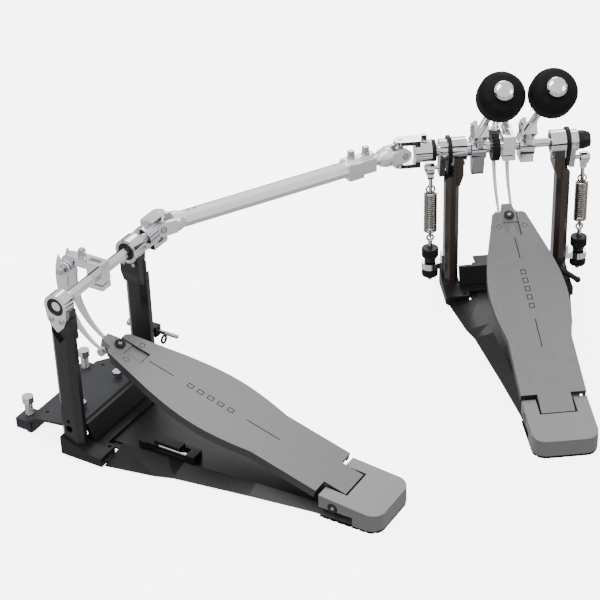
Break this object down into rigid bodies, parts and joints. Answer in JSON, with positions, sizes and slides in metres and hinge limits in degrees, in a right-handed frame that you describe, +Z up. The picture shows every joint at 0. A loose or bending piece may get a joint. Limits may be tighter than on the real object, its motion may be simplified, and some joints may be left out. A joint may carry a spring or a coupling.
{
  "type": "bass drum pedal",
  "caption": "Twin bass drum pedal: main and slave footboards joined by a direct-drive shaft with universal joints, sprung axles and beaters.",
  "frame": {"origin": "on the floor under the middle of the main pedal's axle", "axes": "+X the player's right, +Y towards the drum, +Z up"},
  "size_m": [0.6387, 0.4685, 0.3187],
  "materials": {
    "black_casting": "black powder-coated die casting",
    "black_steel": "satin black painted sheet",
    "bronze_black": "satin dark bronze anodised post",
    "polished_metal": "polished and plated",
    "machined_steel": "machined steel",
    "bearing_steel": "ground bearing rings",
    "brushed_grey": "brushed along its length, satin clear coat",
    "pale_aluminium": "satin anodised",
    "black_rubber": "matt moulded rubber",
    "black_plastic": "moulded",
    "dark_steel": "black oxide",
    "spring_steel": "drawn and plated wire"
  },
  "bodies": {
    "base": {"main_base_casting": "black_casting", "slave_base_casting": "black_casting", "base_plates": "black_steel", "posts": "bronze_black", "bearing_housings": "polished_metal", "bearings": "bearing_steel", "frame_screws": "machined_steel", "heel_plates": "brushed_grey", "rubber_pads": "black_rubber", "spring_brackets": "polished_metal", "outrigger_plate": "black_steel", "tool_holders": "black_plastic", "stored_keys": "polished_metal"},
    "main_board": {"main_footboard": "brushed_grey", "main_toe_slider": "brushed_grey", "main_toe_fasteners": "dark_steel"},
    "main_link": {"main_link_arms": "pale_aluminium"},
    "main_axle": {"main_axle": "polished_metal", "main_rocker_arm": "polished_metal", "main_rocker_screws": "machined_steel", "right_beater_holder": "polished_metal", "right_holder_screws": "machined_steel", "right_spring_lever": "polished_metal", "axle_end_cap": "black_plastic", "right_beater_stem": "polished_metal", "right_beater_head": "black_rubber"},
    "slave_board": {"slave_footboard": "brushed_grey", "slave_toe_slider": "brushed_grey", "slave_toe_fasteners": "dark_steel"},
    "slave_link": {"slave_link_arms": "pale_aluminium"},
    "slave_axle": {"slave_axle": "polished_metal", "slave_rocker_arm": "polished_metal", "slave_rocker_screws": "machined_steel", "slave_yoke": "polished_metal"},
    "slave_cross": {"slave_cross": "machined_steel"},
    "drive_shaft": {"shaft_tube": "pale_aluminium", "shaft_clamp": "pale_aluminium", "shaft_clamp_screws": "machined_steel", "shaft_rod": "pale_aluminium"},
    "main_cross": {"main_cross": "machined_steel"},
    "left_sleeve": {"main_yoke": "polished_metal", "left_sleeve": "polished_metal", "left_beater_holder": "polished_metal", "left_holder_screws": "machined_steel", "thumb_wheel": "black_plastic", "left_spring_lever": "polished_metal", "left_beater_stem": "polished_metal", "left_beater_head": "black_rubber"},
    "right_spring": {"right_spring_rod": "machined_steel", "right_spring_knobs": "black_plastic", "right_coil_spring": "spring_steel"},
    "right_hook": {"right_spring_hook": "machined_steel"},
    "left_spring": {"left_spring_rod": "machined_steel", "left_spring_knobs": "black_plastic", "left_coil_spring": "spring_steel"},
    "left_hook": {"left_spring_hook": "machined_steel"},
    "left_spur": {"left_spur": "machined_steel"},
    "right_spur": {"right_spur": "machined_steel"},
    "clamp_jaw": {"hoop_clamp_jaw": "black_steel"},
    "clamp_screw": {"hoop_clamp_screw": "dark_steel"}
  },
  "joints": [
    {"name": "main_axle_turn", "type": "hinge", "parent": "base", "child": "main_axle", "pos_m": [0, 0, 0.178], "axis": [-1, 0, 0], "range_deg": [0, 47], "stiffness_Nm_per_rad": 1.6, "springref_deg": -8.59},
    {"name": "main_board_hinge", "type": "hinge", "parent": "base", "child": "main_board", "pos_m": [0, -0.2794, 0.0158], "axis": [-1, 0, 0], "range_deg": [0, 6.45]},
    {"name": "main_link_swing", "type": "hinge", "parent": "main_board", "child": "main_link", "pos_m": [0, -0.00151, 0.09166], "axis": [1, 0, 0], "range_deg": [0, 17.6]},
    {"name": "right_spring_tilt", "type": "hinge", "parent": "base", "child": "right_spring", "pos_m": [0.0845, 0, 0.0325], "axis": [1, 0, 0], "range_deg": [0, 7.02]},
    {"name": "right_spring_stretch", "type": "slide", "parent": "right_spring", "child": "right_hook", "axis": [0, 0, 1], "range_m": [0, 0.00782], "deforming": ["right_coil_spring"]},
    {"name": "slave_axle_turn", "type": "hinge", "parent": "base", "child": "slave_axle", "pos_m": [-0.446, -0.204, 0.178], "axis": [-0.5948, -0.8039, 0], "range_deg": [0, 47], "stiffness_Nm_per_rad": 1.6, "springref_deg": -8.59},
    {"name": "slave_board_hinge", "type": "hinge", "parent": "base", "child": "slave_board", "pos_m": [-0.2214, -0.37019, 0.0158], "axis": [-0.5948, -0.8039, 0], "range_deg": [0, 6.45]},
    {"name": "slave_link_swing", "type": "hinge", "parent": "slave_board", "child": "slave_link", "pos_m": [-0.44479, -0.2049, 0.09166], "axis": [0.5948, 0.8039, 0], "range_deg": [0, 17.6]},
    {"name": "slave_cross_turn", "type": "hinge", "parent": "slave_axle", "child": "slave_cross", "pos_m": [-0.38354, -0.1196, 0.178], "axis": [0, 0, 1], "range_deg": [0, 8.45]},
    {"name": "drive_shaft_turn", "type": "hinge", "parent": "base", "child": "drive_shaft", "pos_m": [-0.38354, -0.1196, 0.178], "axis": [-0.9118, -0.4107, 0], "range_deg": [0, 43.29]},
    {"name": "left_sleeve_turn", "type": "hinge", "parent": "base", "child": "left_sleeve", "pos_m": [-0.06, 0, 0.178], "axis": [-1, 0, 0], "range_deg": [0, 45.94]},
    {"name": "main_cross_turn", "type": "hinge", "parent": "left_sleeve", "child": "main_cross", "pos_m": [-0.118, 0, 0.178], "axis": [0, 0, -1], "range_deg": [0, 6.9]},
    {"name": "left_spring_tilt", "type": "hinge", "parent": "base", "child": "left_spring", "pos_m": [-0.0845, 0, 0.0325], "axis": [1, 0, 0], "range_deg": [0, 7.02]},
    {"name": "left_spring_stretch", "type": "slide", "parent": "left_spring", "child": "left_hook", "axis": [0, 0, 1], "range_m": [0, 0.00782], "deforming": ["left_coil_spring"]},
    {"name": "left_spur_travel", "type": "slide", "parent": "base", "child": "left_spur", "axis": [0, 0, 1], "range_m": [0, 0.01]},
    {"name": "right_spur_travel", "type": "slide", "parent": "base", "child": "right_spur", "axis": [0, 0, 1], "range_m": [0, 0.01]},
    {"name": "clamp_jaw_swing", "type": "hinge", "parent": "base", "child": "clamp_jaw", "pos_m": [0, 0.006, 0.014], "axis": [1, 0, 0], "range_deg": [0, 8]},
    {"name": "clamp_screw_turn", "type": "hinge", "parent": "base", "child": "clamp_screw", "pos_m": [0.058, -0.021, 0.029], "axis": [0.788, 0, -0.6157], "range_deg": [-180, 180]}
  ],
  "couplings": [
    {"joint": "main_board_hinge", "follows": "main_axle_turn", "ratio": 0.13596},
    {"joint": "main_link_swing", "follows": "main_axle_turn", "ratio": 0.37362},
    {"joint": "right_spring_tilt", "follows": "main_axle_turn", "ratio": 0.1483},
    {"joint": "right_spring_stretch", "follows": "main_axle_turn", "m_per_rad": 0.009411},
    {"joint": "slave_board_hinge", "follows": "slave_axle_turn", "ratio": 0.13596},
    {"joint": "slave_link_swing", "follows": "slave_axle_turn", "ratio": 0.37362},
    {"joint": "slave_cross_turn", "follows": "slave_axle_turn", "ratio": 0.1776},
    {"joint": "drive_shaft_turn", "follows": "slave_axle_turn", "ratio": 0.9169},
    {"joint": "left_sleeve_turn", "follows": "slave_axle_turn", "ratio": 0.97315},
    {"joint": "main_cross_turn", "follows": "slave_axle_turn", "ratio": 0.1446},
    {"joint": "left_spring_tilt", "follows": "slave_axle_turn", "ratio": 0.1483},
    {"joint": "left_spring_stretch", "follows": "slave_axle_turn", "m_per_rad": 0.009411}
  ]
}
